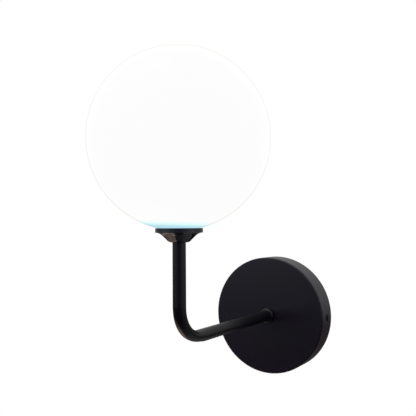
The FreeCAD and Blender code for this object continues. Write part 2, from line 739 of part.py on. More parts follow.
def make_side_screw(name, side):
    """A set screw. Its own z points out of the canopy's side, and z 0 is its outer end."""
    body = new_body(f"side_screw_{name}")
    body.Placement = Placement(Vector(), Rotation(Vector(0, 1, 0), 90 * side))
    body.setExpression("Placement.Base.x", f"{side} * (sizes.canopy_diameter / 2 - sizes.side_screw_recess)")
    body.setExpression("Placement.Base.y", "-sizes.side_hole_from_wall")
    radius = "sizes.side_screw_diameter / 2"
    bevel = "sizes.side_screw_diameter / 8"
    turned(body, "profile", [
        ("0", "-sizes.side_screw_length"),
        (f"{radius} - 2 * {bevel}", "-sizes.side_screw_length"),
        (radius, f"-sizes.side_screw_length + 2 * {bevel}"),
        (radius, f"-{bevel}"),
        (f"{radius} - {bevel}", "0"),
        ("0", "0"),
    ])
    socket = new_sketch(body, "socket", "XY_Plane")
    corner = "(sizes.hex_across_flats / 2 / cos(30))"
    turns = [60 * step for step in range(6)]
    trace(socket, [(f"{corner} * cos({turn})", f"{corner} * sin({turn})") for turn in turns])
    pocket(body, socket, "sizes.hex_depth")
    return body


def slotted_screw(body, head_diameter, head_height, shank_diameter, shank_length):
    """A screw with a domed, slotted head. Its own z 0 is the underside of the head."""
    head = f"{head_diameter} / 2"
    shank = f"{shank_diameter} / 2"
    turned(body, "profile", [
        ("0", f"-({shank_length})"),
        (shank, f"-({shank_length})"),
        (shank, "0"),
        (head, "0"),
        (head, f"{head_height} * 0.6", f"{head_height} * 0.4", "right"),
        (f"{head} - {head_height} * 0.4", head_height),
        ("0", head_height),
    ])
    slot = new_sketch(body, "slot", "XY_Plane", head_height)
    trace(slot, centred_box("0", "0", f"{head_diameter} + 1", "sizes.driver_slot_width"))
    pocket(body, slot, "sizes.driver_slot_depth")
    return body


def make_earth_screw():
    body = new_body("earth_screw")
    under = "(sizes.strap_thickness + sizes.ring_thickness + sizes.lock_washer_thickness)"
    wall_frame(body, under, "-sizes.earth_from_centre")
    return slotted_screw(body, "sizes.earth_head_diameter", "sizes.earth_head_height",
                         "sizes.earth_screw_diameter", f"{under} - sizes.screw_back_gap")


def make_ring_terminal():
    """An eye on the strap and a barrel that holds the earth lead, its own x along the barrel."""
    body = new_body("earth_ring_terminal")
    wall_frame(body, "sizes.strap_thickness", "-sizes.earth_from_centre", turn=value("sizes.earth_angle"))
    eye = new_sketch(body, "eye", "XY_Plane")
    circle(eye, "0", "0", "sizes.ring_diameter / 2")
    pad(body, eye, "sizes.ring_thickness")
    tongue = new_sketch(body, "tongue", "XY_Plane")
    trace(tongue, box_corners("sizes.ring_diameter / 4", "-sizes.barrel_diameter / 3",
                              "sizes.barrel_start + sizes.barrel_length / 2", "sizes.barrel_diameter / 3"))
    pad(body, tongue, "sizes.ring_thickness")
    barrel = new_sketch(body, "barrel", "YZ_Plane", "sizes.barrel_start")
    circle(barrel, "0", "sizes.barrel_diameter / 2", "sizes.barrel_diameter / 2")
    pad(body, barrel, "sizes.barrel_length")
    hole = new_sketch(body, "lead_hole", "YZ_Plane", "sizes.barrel_start + sizes.barrel_length")
    circle(hole, "0", "sizes.barrel_diameter / 2", "sizes.lead_diameter / 2 + sizes.thread_clearance")
    pocket(body, hole, "sizes.barrel_length - sizes.ring_thickness")
    screw_hole = new_sketch(body, "screw_hole", "XY_Plane")
    circle(screw_hole, "0", "0", "sizes.earth_screw_diameter / 2 + sizes.hole_clearance")
    pocket(body, screw_hole, "sizes.ring_thickness", reverse=True)
    return body


# Terminal block

def block_frame(body, up="0", across="0"):
    wall_frame(body, "sizes.strap_thickness", f"sizes.block_from_centre + {across}", up)


def clamp_stations():
    """Where the clamp screws stand along the block, near end first."""
    middle = "sizes.block_length / 2"
    return [f"({middle} - sizes.clamp_spacing / 2)", f"({middle} + sizes.clamp_spacing / 2)"]


def pole_height(pole):
    return f"{pole} * sizes.pole_pitch"


def make_terminal_block():
    body = new_body("terminal_block")
    block_frame(body)
    bar = new_sketch(body, "bar", "XY_Plane")
    trace(bar, box_corners("0", "-sizes.block_width / 2", "sizes.block_length", "sizes.block_width / 2"))
    plain = pad(body, bar, "sizes.block_bar_height")

    def upright(edge):
        return edge.BoundBox.ZLength > value("sizes.block_bar_height") - 1e-4

    dress(body, "Fillet", plain, upright, "sizes.block_corner_radius")
    towers = new_sketch(body, "towers", "XY_Plane", "sizes.block_bar_height")
    wells = new_sketch(body, "wells", "XY_Plane", "sizes.block_bar_height + sizes.tower_height")
    wires = new_sketch(body, "wire_holes", "YZ_Plane")
    for pole in POLES.values():
        for station in clamp_stations():
            circle(towers, station, pole_height(pole), "sizes.tower_diameter / 2")
            circle(wells, station, pole_height(pole), "sizes.clamp_head_diameter / 2 + sizes.hole_clearance")
        circle(wires, pole_height(pole), "sizes.wire_height",
               "sizes.insert_diameter / 2 + sizes.thread_clearance")
    pad(body, towers, "sizes.tower_height")
    pocket(body, wells, "sizes.block_bar_height + sizes.tower_height - sizes.wire_height")
    pocket(body, wires, "sizes.block_length", reverse=True)
    fixings = new_sketch(body, "fixing_holes", "XY_Plane")
    for side in PAIR.values():
        circle(fixings, "sizes.block_length / 2", f"{side} * sizes.pole_pitch / 2",
               "sizes.clamp_screw_diameter / 2 + sizes.hole_clearance")
    pocket(body, fixings, "sizes.block_bar_height", reverse=True)
    return body


def make_terminal_insert(name, pole):
    body = new_body(f"terminal_insert_{name}")
    block_frame(body, pole_height(pole))
    tube = new_sketch(body, "tube", "YZ_Plane", "(sizes.block_length - sizes.insert_length) / 2")
    circle(tube, "0", "sizes.wire_height", "sizes.insert_diameter / 2")
    circle(tube, "0", "sizes.wire_height", "sizes.insert_bore / 2")
    pad(body, tube, "sizes.insert_length")
    holes = new_sketch(body, "screw_holes", "XY_Plane", "sizes.wire_height")
    for station in clamp_stations():
        circle(holes, station, "0", "sizes.clamp_screw_diameter / 2 + sizes.thread_clearance")
    pocket(body, holes, "sizes.insert_diameter", reverse=True)
    return body


def make_clamp_screw(name, pole, station):
    body = new_body(f"clamp_screw_{name}")
    wall_frame(body, "(sizes.strap_thickness + sizes.clamp_head_seat)",
               f"sizes.block_from_centre + {station}", pole_height(pole))
    tip = "(sizes.wire_height + sizes.lead_diameter / 2 + sizes.lead_seat_gap)"
    return slotted_screw(body, "sizes.clamp_head_diameter", "sizes.clamp_head_height",
                         "sizes.clamp_screw_diameter", f"sizes.clamp_head_seat - {tip}")


def make_block_screw(name, side):
    body = new_body(f"block_screw_{name}")
    under = "(sizes.strap_thickness + sizes.block_bar_height)"
    wall_frame(body, under, "sizes.block_from_centre + sizes.block_length / 2",
               f"{side} * sizes.pole_pitch / 2")
    return slotted_screw(body, "sizes.block_screw_head_diameter", "sizes.block_screw_head_height",
                         "sizes.clamp_screw_diameter", f"{under} - sizes.screw_back_gap")


# Fitter cup and threaded carrier

def flare():
    """The cup's flare is an arc that leaves the 45 degree cone as a tangent.

    Gives the arc's radius, its centre (radius from the axis, height over the seat) and its start.
    """
    start = "(sizes.cup_foot_diameter / 2 + sizes.flare_start_height)"
    across = f"(sizes.cup_diameter / 2 - {start})"
    up = "(sizes.cup_height - sizes.cup_band_height - sizes.flare_start_height)"
    radius = f"(({across} ^ 2 + {up} ^ 2) / (sqrt(2) * ({across} - {up})))"
    centre_across = f"({start} + {radius} / sqrt(2))"
    centre_up = f"(sizes.flare_start_height - {radius} / sqrt(2))"
    return radius, centre_across, centre_up, start


def make_fitter_cup():
    body = new_body("fitter_cup")
    lamp_frame(body, CUP_SEAT)
    radius, centre_across, centre_up, start = flare()
    foot = "sizes.cup_foot_radius"
    foot_corner = "sizes.cup_foot_diameter / 2"
    foot_tangent = f"({foot} * tan(22.5))"
    wall = "sizes.cup_wall"
    inner_radius = f"({radius} + {wall})"
    inner_end = f"{centre_up} + sqrt({inner_radius} ^ 2 - ({centre_across} - {RIM_INSIDE}) ^ 2)"
    turned(body, "profile", [
        (THREAD_HOLE, "0"),
        (f"{foot_corner} - {foot_tangent}", "0", foot, "right"),
        (f"{foot_corner} + {foot_tangent} / sqrt(2)", f"{foot_tangent} / sqrt(2)"),
        (start, "sizes.flare_start_height", radius, "left"),
        ("sizes.cup_diameter / 2", "sizes.cup_height - sizes.cup_band_height"),
        ("sizes.cup_diameter / 2", "sizes.cup_height"),
        (RIM_INSIDE, "sizes.cup_height"),
        (RIM_INSIDE, inner_end, inner_radius, "right"),
        (f"{start} - {wall} / sqrt(2)", f"sizes.flare_start_height + {wall} / sqrt(2)"),
        (f"{foot_corner} - {wall} * (sqrt(2) - 1)", wall),
        (THREAD_HOLE, wall),
    ])
    return body


def make_shade_carrier():
    body = new_body("shade_carrier")
    lamp_frame(body, CARRIER_SEAT)
    outside = "sizes.carrier_diameter / 2"
    inside = "sizes.carrier_bore / 2"
    bevel = "sizes.carrier_chamfer"
    groove = "(sizes.carrier_floor + sizes.holder_shoulder_height)"
    groove_top = f"{groove} + sizes.retaining_ring_thickness + sizes.thread_clearance"
    turned(body, "profile", [
        (THREAD_HOLE, "0"),
        (f"{outside} - {bevel}", "0"),
        (outside, bevel),
        (outside, f"sizes.carrier_height - {bevel}"),
        (f"{outside} - {bevel}", "sizes.carrier_height"),
        (inside, "sizes.carrier_height"),
        (inside, groove_top),
        (f"{inside} + sizes.ring_groove_depth", groove_top),
        (f"{inside} + sizes.ring_groove_depth", groove),
        (inside, groove),
        (inside, "sizes.carrier_floor"),
        (THREAD_HOLE, "sizes.carrier_floor"),
    ])
    return body


# Lampholder

def make_lampholder_body():
    body = new_body("lampholder_body")
    lamp_frame(body, HOLDER_SEAT)
    chamber = "sizes.holder_chamber_diameter / 2"
    turned(body, "profile", [
        (chamber, "0"),
        ("sizes.holder_diameter / 2", "0"),
        ("sizes.holder_diameter / 2", "sizes.holder_shoulder_height"),
        ("sizes.holder_neck_diameter / 2", "sizes.holder_shoulder_height"),
        ("sizes.holder_neck_diameter / 2", "sizes.holder_height"),
        ("0", "sizes.holder_height"),
        ("0", "sizes.holder_chamber_height"),
        (chamber, "sizes.holder_chamber_height"),
    ])
    recess = new_sketch(body, "recess", "XY_Plane", "sizes.holder_height")
    trace(recess, centred_box("0", "0", "sizes.recess_length", "sizes.recess_width"))
    pocket(body, recess, "sizes.recess_depth")
    pockets = new_sketch(body, "contact_pockets", "XY_Plane", "sizes.holder_chamber_height")
    slots = new_sketch(body, "pin_slots", "XY_Plane", "sizes.holder_height")
    for side in PAIR.values():
        place = f"{side} * sizes.pin_spacing / 2"
        trace(pockets, centred_box(place, "0", "sizes.pocket_length", "sizes.pocket_width"))
        trace(slots, centred_box(place, "0", "sizes.pocket_length", "sizes.pin_slot_width"))
    pocket(body, pockets, "sizes.pocket_height", reverse=True)
    pocket(body, slots, "sizes.holder_height - sizes.holder_chamber_height - sizes.pocket_height / 2")
    return body


def make_lampholder_ring():
    """An open spring ring on the holder's shoulder, in the carrier's groove."""
    body = new_body("lampholder_ring")
    lamp_frame(body, HOLDER_SHOULDER)
    outside = "(sizes.carrier_bore / 2 + sizes.ring_groove_depth - sizes.thread_clearance)"
    ring = new_sketch(body, "ring", "XY_Plane")
    circle(ring, "0", "0", outside)
    circle(ring, "0", "0", "sizes.retaining_ring_bore / 2")
    pad(body, ring, "sizes.retaining_ring_thickness")
    gap = new_sketch(body, "gap", "XY_Plane", "sizes.retaining_ring_thickness")
    trace(gap, box_corners("-sizes.retaining_ring_gap / 2", f"-{outside} - 1",
                           "sizes.retaining_ring_gap / 2", f"-{outside} / 2"))
    pocket(body, gap, "sizes.retaining_ring_thickness")
    return body


def make_contact_spring(name, side):
    """A channel of spring sheet round a lamp pin, with a crimp tail below it."""
    body = new_body(f"contact_spring_{name}")
    lamp_frame(body, CONTACT_FOOT, f"{side} * sizes.pin_spacing / 2")
    gap = "(sizes.pin_wire_diameter + 2 * sizes.seat_gap)"
    block = new_sketch(body, "channel", "XY_Plane")
    trace(block, centred_box("0", "0", "sizes.contact_length", f"{gap} + 2 * sizes.contact_sheet"))
    pad(body, block, "sizes.contact_height")
    opening = new_sketch(body, "opening", "XY_Plane", "sizes.contact_height")
    trace(opening, centred_box("0", "0", "sizes.contact_length + 1", gap))
    pocket(body, opening, "sizes.contact_height - sizes.contact_sheet")
    tail = new_sketch(body, "tail", "XY_Plane")
    trace(tail, centred_box("0", "0", "sizes.contact_tail_width", "sizes.contact_tail_width"))
    pad(body, tail, "sizes.contact_tail_length", reverse=True)
    return body


# Lamp

def make_bulb_base():
    body = new_body("bulb_base")
    lamp_frame(body, LAMP_FOOT)
    block = new_sketch(body, "block", "XY_Plane")
    trace(block, centred_box("0", "0", "sizes.lamp_base_length", "sizes.lamp_base_width"))
    pad(body, block, "sizes.lamp_base_height")
    flange = new_sketch(body, "flange", "XY_Plane", "sizes.lamp_base_height")
    circle(flange, "0", "0", "sizes.lamp_diameter / 2")
    pad(body, flange, "sizes.lamp_flange_thickness")
    spigot = new_sketch(body, "spigot", "XY_Plane", "sizes.lamp_base_height + sizes.lamp_flange_thickness")
    circle(spigot, "0", "0", "sizes.lamp_diameter / 2 - sizes.lamp_wall - sizes.thread_clearance")
    pad(body, spigot, "sizes.lamp_spigot_height")
    return body


def make_bulb_pin(name, side):
    """One pin, a loop of wire that leaves the base and comes back."""
    body = new_body(f"bulb_pin_{name}")
    lamp_frame(body, LAMP_FOOT, f"{side} * sizes.pin_spacing / 2")
    leg = "(sizes.pin_loop_width - sizes.pin_wire_diameter) / 2"
    turn = f"-(sizes.pin_length - sizes.pin_wire_diameter / 2 - {leg})"
    path = new_sketch(body, "path", "XZ_Plane")
    trace(path, [(f"-{leg}", "0"), (f"-{leg}", turn, "half", "right"), (leg, turn), (leg, "0")], closed=False)
    wire = new_sketch(body, "wire", "XY_Plane")
    circle(wire, f"-{leg}", "0", "sizes.pin_wire_diameter / 2")
    swept(body, "AdditivePipe", wire, path)
    return body


def make_bulb_envelope():
    """A tube with a round top that stands on the base's flange."""
    body = new_body("bulb_envelope")
    lamp_frame(body, LAMP_FOOT)
    outside = "(sizes.lamp_diameter / 2)"
    inside = f"({outside} - sizes.lamp_wall)"
    foot = "sizes.lamp_base_height + sizes.lamp_flange_thickness"
    turned(body, "profile", [
        (inside, foot),
        (outside, foot),
        (outside, f"sizes.lamp_length - {outside}", outside, "right"),
        ("0", "sizes.lamp_length"),
        ("0", "sizes.lamp_length - sizes.lamp_wall", inside, "left"),
        (inside, f"sizes.lamp_length - {outside}"),
    ])
    return body


def make_led_board():
    body = new_body("bulb_led_board")
    lamp_frame(body, LAMP_BOARD)
    board = new_sketch(body, "board", "XY_Plane")
    trace(board, centred_box("0", "0", "sizes.led_board_width", "sizes.led_board_thickness"))
    pad(body, board, "sizes.led_board_height")
    return body


def make_led_chips():
    """Light chips in a column on each face of the board."""
    chips = []
    for side in PAIR.values():
        for row in range(LED_ROWS):
            chip = doc.addObject("Part::Box", f"led_chip_{len(chips)}")
            chip.setExpression("Length", "sizes.led_size")
            chip.setExpression("Width", "sizes.led_thickness")
            chip.setExpression("Height", "sizes.led_size")
            chip.setExpression("Placement.Base.x", "-sizes.led_size / 2")
            face = f"{side} * sizes.led_board_thickness / 2"
            inward = "0" if side > 0 else "sizes.led_thickness"
            chip.setExpression("Placement.Base.y", f"-sizes.arm_reach + {face} - {inward}")
            middle = f"({row - (LED_ROWS - 1) / 2} * sizes.led_pitch + sizes.led_board_height / 2)"
            chip.setExpression("Placement.Base.z", f"{LAMP_BOARD} + {middle} - sizes.led_size / 2")
            chips.append(chip)
    return group("bulb_led_chips", chips)


# Globe

def make_globe():
    body = new_body("glass_globe")
    lamp_frame(body, GLOBE_CENTRE)
    neck = "sizes.neck_diameter / 2"
    neck_end = f"({NECK_END} - {GLOBE_CENTRE})"
    shell = turned(body, "profile", [
        (NECK_BORE, neck_end),
        (neck, neck_end),
        (neck, f"-sqrt({GLOBE_RADIUS} ^ 2 - ({neck}) ^ 2)", GLOBE_RADIUS, "right"),
        ("0", GLOBE_RADIUS),
        ("0", GLOBE_INSIDE, GLOBE_INSIDE, "left"),
        (NECK_BORE, f"-sqrt({GLOBE_INSIDE} ^ 2 - {NECK_BORE} ^ 2)"),
    ])

    def melted(edge):
        return any(is_circle(edge, value(radius), value(neck_end)) for radius in (NECK_BORE, neck))

    rounded = dress(body, "Fillet", shell, melted, "sizes.glass_edge_radius")

    def root(edge):
        return is_circle(edge, value(neck), value(f"-sqrt({GLOBE_RADIUS} ^ 2 - ({neck}) ^ 2)"))

    dress(body, "Fillet", rounded, root, "sizes.neck_fillet_radius")
    return body


def make_globe_seal():
    """A flat ring on the globe's neck, under the globe and inside the cup's rim."""
    body = new_body("globe_seal")
    inside = "(sizes.neck_diameter / 2 + sizes.moving_clearance)"
    outside = f"({RIM_INSIDE} - sizes.seat_gap)"
    top = f"({GLOBE_CENTRE} - sqrt({GLOBE_RADIUS} ^ 2 - {inside} ^ 2) - sizes.seat_gap)"
    lamp_frame(body, top)
    ring = turned(body, "profile", box_corners(inside, "-sizes.seal_thickness", outside, "0"))
    dress(body, "Fillet", ring, round_edge, "sizes.seal_edge_radius")
    return body


# Leads

def tangent_length(before, corner, after, radius):
    turn = (corner - before).getAngle(after - corner)
    return radius * math.tan(turn / 2)


def easy_radius(before, corner, after):
    """The largest arc that takes no more than 0.45 of the shorter run."""
    turn = (corner - before).getAngle(after - corner)
    shorter = min((corner - before).Length, (after - corner).Length)
    return 0.45 * shorter / math.tan(turn / 2)


def rounded_path(points, radii):
    """Straight runs joined by tangent arcs. Corners without a radius of their own get an easy one."""
    edges = []
    here = points[0]
    for index in range(1, len(points) - 1):
        before, corner, after = points[index - 1:index + 2]
        radius = radii.get(index) or easy_radius(before, corner, after)
        reach = tangent_length(before, corner, after, radius)
        inward = (before - corner).normalize()
        onward = (after - corner).normalize()
        start = corner + inward * reach
        end = corner + onward * reach
        bisector = (inward + onward).normalize()
        half = inward.getAngle(onward) / 2
        middle = corner + bisector * (radius / math.sin(half) - radius)
        edges.append(Part.LineSegment(here, start).toShape())
        edges.append(Part.Arc(start, middle, end).toShape())
        here = end
    edges.append(Part.LineSegment(here, points[-1]).toShape())
    return Part.Wire(edges)


def make_lead(label, points, radii):
    path = rounded_path(points, radii)
    radius = value("sizes.lead_diameter / 2")
    section = Part.Wire([Part.makeCircle(radius, points[0], points[1] - points[0])])
    solid = path.makePipeShell([section], True, False)
    expected = math.pi * radius ** 2 * path.Length
    if abs(solid.Volume / expected - 1) > 0.01:
        raise ValueError(f"{label} has the wrong volume")
    print(f"{label} is {path.Length:.0f} long")
    lead = doc.addObject("Part::Feature", label)
    lead.Label = label
    lead.Shape = solid
    return lead


def make_lamp_lead(label, side, pole, ease):
    """From a contact's tail through the tube to its pole in the terminal block."""
    lamp_y = -value("sizes.arm_reach")
    contact_x = side * value("sizes.pin_spacing / 2")
    tube_x = side * value("sizes.lead_spacing / 2")
    tail = value(TAIL_END)
    line_y = -value(WIRE_LINE)
    pole_z = value(pole_height(pole))
    entry = value(LEAD_END)
    drop = value(f"{TAIL_END} - {LAMP_END}")
    points = [
        Vector(contact_x, lamp_y, tail),
        Vector(contact_x, lamp_y, tail - 0.35 * drop),
        Vector(tube_x, lamp_y, tail - 0.95 * drop),
        Vector(tube_x, lamp_y, 0),
        Vector(tube_x, line_y, 0),
    ]
    if ease:
        points.append(Vector(ease, line_y, pole_z))
    points.append(Vector(entry, line_y, pole_z))
    return make_lead(label, points, {3: value("sizes.bend_radius")})


def make_earth_lead():
    """From the ring terminal's barrel, over the cable hole, to the earth pole."""
    angle = math.radians(value("sizes.earth_angle"))
    along = Vector(math.cos(angle), 0, math.sin(angle))
    eye = Vector(-value("sizes.earth_from_centre"), -value(BARREL_LINE), 0)
    start = eye + along * value("sizes.barrel_start + 2 * sizes.ring_thickness")
    turn = eye + along * value("sizes.barrel_start + sizes.barrel_length + 5")
    pole_z = value(pole_height(POLES["earth"]))
    line_y = -value(WIRE_LINE)
    entry = value(LEAD_END)
    near = value("sizes.block_from_centre - 8")
    points = [start, turn, Vector(near, line_y, pole_z), Vector(entry, line_y, pole_z)]
    return make_lead("earth_lead", points, {})


def build_nodes():
    """Every piece that is written out."""
    nodes = [make_canopy(), make_mounting_strap()]
    nodes.append(group("side_screws", [make_side_screw(name, side) for name, side in PAIR.items()]))
    nodes += [make_arm_tube(), make_arm_collar(), make_flat_washer()]

    canopy_lock = make_lock_washer("canopy_lock_washer", THREAD_HOLE, "sizes.lock_washer_diameter",
                                   "sizes.lock_washer_rim")
    wall_frame(canopy_lock, CANOPY_LOCK)
    canopy_nut = make_nut("canopy_nut")
    wall_frame(canopy_nut, CANOPY_NUT)
    wall_bushing = make_bushing("wall_end_bushing")
    wall_bushing.Placement = Placement(Vector(), Rotation(Vector(1, 0, 0), -90))
    wall_bushing.setExpression("Placement.Base.y", f"-{WALL_END}")
    lamp_bushing = make_bushing("lamp_end_bushing")
    lamp_frame(lamp_bushing, LAMP_END)
    nodes += [canopy_lock, canopy_nut, wall_bushing, lamp_bushing]

    cup_lock = make_lock_washer("cup_lock_washer", THREAD_HOLE, "sizes.lock_washer_diameter",
                                "sizes.lock_washer_rim")
    lamp_frame(cup_lock, CUP_FLOOR)
    cup_nut = make_nut("cup_nut")
    lamp_frame(cup_nut, CUP_NUT)
    carrier_nut = make_nut("carrier_nut")
    lamp_frame(carrier_nut, HOLDER_SEAT)
    nodes += [make_fitter_cup(), cup_lock, cup_nut, make_shade_carrier(), carrier_nut]

    nodes += [make_lampholder_body(), make_lampholder_ring()]
    nodes.append(group("contact_springs", [make_contact_spring(name, side) for name, side in PAIR.items()]))

    earth_hole = "(sizes.earth_screw_diameter / 2 + sizes.hole_clearance)"
    earth_lock = make_lock_washer("earth_lock_washer", earth_hole, "sizes.earth_washer_diameter",
                                  "sizes.lock_washer_rim / 2")
    wall_frame(earth_lock, "(sizes.strap_thickness + sizes.ring_thickness)", "-sizes.earth_from_centre")
    nodes += [make_ring_terminal(), earth_lock, make_earth_screw()]

    nodes.append(make_terminal_block())
    nodes.append(group("terminal_inserts", [make_terminal_insert(*pole) for pole in POLES.items()]))
    clamps = []
    for name, pole in POLES.items():
        for number, station in enumerate(clamp_stations(), start=1):
            clamps.append(make_clamp_screw(f"{name}_{number}", pole, station))
    nodes.append(group("clamp_screws", clamps))
    nodes.append(group("block_screws", [make_block_screw(name, side) for name, side in PAIR.items()]))

    live_ease = value("sizes.block_from_centre - 4.5")
    nodes.append(make_lamp_lead("live_lead", -1, POLES["live"], live_ease))
    nodes.append(make_lamp_lead("neutral_lead", 1, POLES["neutral"], None))
    nodes.append(make_earth_lead())

    nodes += [make_globe_seal(), make_globe(), make_bulb_base()]
    nodes.append(group("bulb_pins", [make_bulb_pin(name, side) for name, side in PAIR.items()]))
    nodes += [make_bulb_envelope(), make_led_board(), make_led_chips()]
    return nodes


def check(nodes):
    for item in doc.Objects:
        if "Invalid" in item.State or "Error" in item.State:
            raise ValueError(f"{item.Label} failed")
    for node in nodes:
        if node.Shape.isNull() or not node.Shape.isValid() or not node.Shape.Solids:
            raise ValueError(f"{node.Label} has no valid solid")


def write(nodes):
    os.makedirs("parts", exist_ok=True)
    for node in nodes:
        node.Shape.exportStep(f"parts/{node.Label}.step")
        print(f"{node.Label}: {len(node.Shape.Solids)} solids, {node.Shape.Volume:.1f} cubic mm")


pieces = build_nodes()
doc.recompute()
check(pieces)
write(pieces)
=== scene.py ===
import math

import bmesh
import bpy
from mathutils import Matrix, Vector


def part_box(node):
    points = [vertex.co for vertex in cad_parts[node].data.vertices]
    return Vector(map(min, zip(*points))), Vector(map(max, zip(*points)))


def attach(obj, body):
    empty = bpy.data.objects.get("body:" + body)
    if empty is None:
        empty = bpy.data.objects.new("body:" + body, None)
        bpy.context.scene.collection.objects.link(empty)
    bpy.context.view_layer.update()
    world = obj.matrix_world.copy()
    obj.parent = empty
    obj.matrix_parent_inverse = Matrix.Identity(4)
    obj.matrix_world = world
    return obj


# Looks for a globe wall sconce. The frame is the wall's: +Z up, the arm along -Y, metres.

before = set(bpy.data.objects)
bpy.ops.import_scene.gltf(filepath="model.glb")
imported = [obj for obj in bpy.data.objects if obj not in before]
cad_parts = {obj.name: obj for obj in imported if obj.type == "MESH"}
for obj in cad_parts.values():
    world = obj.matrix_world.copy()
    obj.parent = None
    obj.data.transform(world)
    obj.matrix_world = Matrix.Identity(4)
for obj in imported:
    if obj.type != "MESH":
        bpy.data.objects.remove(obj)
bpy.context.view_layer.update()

MM = 0.001
PHOTO_PIXELS = 416
SENSOR_MM = 36
UP = (0, 0, 1)


# Camera

CAMERA_AZIMUTH = math.radians(31.138)
CAMERA_PITCH = math.radians(1.753)
CAMERA_ROLL = math.radians(0.328)
CAMERA_PLACE = Vector((271.35, -593.43, 93.54)) * MM
FOCAL_PIXELS = 595.85
CAMERA_NEAR = 10 * MM


def add_camera():
    """The photograph's camera. It looks to the left of the wall's square and a little upwards."""
    level = math.cos(CAMERA_PITCH)
    ahead = Vector((
        -math.sin(CAMERA_AZIMUTH) * level,
        math.cos(CAMERA_AZIMUTH) * level,
        math.sin(CAMERA_PITCH),
    ))
    right = Vector((math.cos(CAMERA_AZIMUTH), math.sin(CAMERA_AZIMUTH), 0))
    up = right.cross(ahead)
    tilt = Matrix.Rotation(CAMERA_ROLL, 3, ahead)
    right = tilt @ right
    up = tilt @ up
    data = bpy.data.cameras.new("camera")
    data.sensor_width = SENSOR_MM
    data.lens = SENSOR_MM * FOCAL_PIXELS / PHOTO_PIXELS
    data.clip_start = CAMERA_NEAR
    camera = bpy.data.objects.new("camera", data)
    turn = Matrix((right, up, -ahead)).transposed().to_4x4()
    camera.matrix_world = Matrix.Translation(CAMERA_PLACE) @ turn
    bpy.context.scene.collection.objects.link(camera)
    bpy.context.scene.camera = camera


# Node helpers

# The two values that most of a noise lies between, and the socket numbers of a node that mixes two colours.
NOISE_LOW = 0.3
NOISE_HIGH = 0.7
MIX_FACTOR = 0
MIX_COLOURS = (6, 7)
MIX_RESULT = 2


class Graph:
    """A node tree with short ways to add and join its nodes."""

    def __init__(self, tree):
        tree.nodes.clear()
        self.tree = tree

    def add(self, kind, **settings):
        node = self.tree.nodes.new(kind)
        for name, setting in settings.items():
            setattr(node, name, setting)
        return node

    def join(self, output, socket):
        self.tree.links.new(output, socket)

    def place(self):
        """Places in the frame: every node sits at the origin, so its own coordinates are the frame's."""
        return self.add("ShaderNodeTexCoord").outputs["Object"]

    def noise(self, scale, detail=4, source=None):
        node = self.add("ShaderNodeTexNoise")
        node.inputs["Scale"].default_value = scale
        node.inputs["Detail"].default_value = detail
        self.join(source or self.place(), node.inputs["Vector"])
        return node.outputs["Fac"]

    def stretched(self, x, y, z):
        """Places scaled along each axis. A small scale draws a texture out along its axis."""
        node = self.add("ShaderNodeMapping")
        node.inputs["Scale"].default_value = (x, y, z)
        self.join(self.place(), node.inputs["Vector"])
        return node.outputs["Vector"]

    def ramp(self, source, stops):
        """A colour ramp from (place, colour) pairs."""
        node = self.add("ShaderNodeValToRGB")
        points = node.color_ramp.elements
        while len(points) < len(stops):
            points.new(0.5)
        for point, (place, colour) in zip(points, stops):
            point.position = place
            point.color = (*colour, 1)
        self.join(source, node.inputs["Fac"])
        return node.outputs["Color"]

    def tones(self, source, colours):
        """A blend between two colours over the values of a noise."""
        return self.ramp(source, list(zip((NOISE_LOW, NOISE_HIGH), colours)))

    def spread(self, source, low, high, from_low=NOISE_LOW, from_high=NOISE_HIGH):
        """Maps a range of values on another one."""
        node = self.add("ShaderNodeMapRange")
        node.inputs["From Min"].default_value = from_low
        node.inputs["From Max"].default_value = from_high
        node.inputs["To Min"].default_value = low
        node.inputs["To Max"].default_value = high
        self.join(source, node.inputs["Value"])
        return node.outputs["Result"]

    def along(self, source, direction):
        """How far a vector reaches in a direction."""
        node = self.add("ShaderNodeVectorMath", operation="DOT_PRODUCT")
        node.inputs[1].default_value = direction
        self.join(source, node.inputs[0])
        return node.outputs["Value"]

    def multiply(self, first, second):
        node = self.add("ShaderNodeMix", data_type="RGBA", blend_type="MULTIPLY")
        node.inputs[MIX_FACTOR].default_value = 1
        for colour, socket in zip((first, second), MIX_COLOURS):
            self.join(colour, node.inputs[socket])
        return node.outputs[MIX_RESULT]

    def with_backdrop(self, lit, seen):
        """One shader that lights the object, and another that the camera sees in its place."""
        node = self.add("ShaderNodeMixShader")
        self.join(self.add("ShaderNodeLightPath").outputs["Is Camera Ray"], node.inputs["Fac"])
        self.join(lit, node.inputs[1])
        self.join(seen, node.inputs[2])
        return node.outputs["Shader"]

    def bump(self, source, height, strength):
        node = self.add("ShaderNodeBump")
        node.inputs["Strength"].default_value = strength
        node.inputs["Distance"].default_value = height
        self.join(source, node.inputs["Height"])
        return node.outputs["Normal"]


def surface(name, **values):
    """A principled material. Returns it with its graph and shader."""
    material = bpy.data.materials.new(name)
    material.use_nodes = True
    graph = Graph(material.node_tree)
    shader = graph.add("ShaderNodeBsdfPrincipled")
    output = graph.add("ShaderNodeOutputMaterial")
    graph.join(shader.outputs["BSDF"], output.inputs["Surface"])
    for socket, number in values.items():
        shader.inputs[socket.replace("_", " ")].default_value = number
    return material, graph, shader


# Ways to make a material. Noise scales are per metre.

def black_paint(name, tones, roughness, grain, depth):
    """Sprayed black: a slow drift of tone, a cloudy gloss and a faint orange peel."""
    material, graph, shader = surface(name, Specular_IOR_Level=0.5)
    drift = graph.noise(scale=35, detail=2)
    graph.join(graph.tones(drift, tones), shader.inputs["Base Color"])
    cloud = graph.noise(scale=420, detail=3)
    graph.join(graph.spread(cloud, *roughness), shader.inputs["Roughness"])
    peel = graph.noise(scale=grain, detail=2)
    graph.join(graph.bump(peel, height=depth, strength=0.5), shader.inputs["Normal"])
    return material


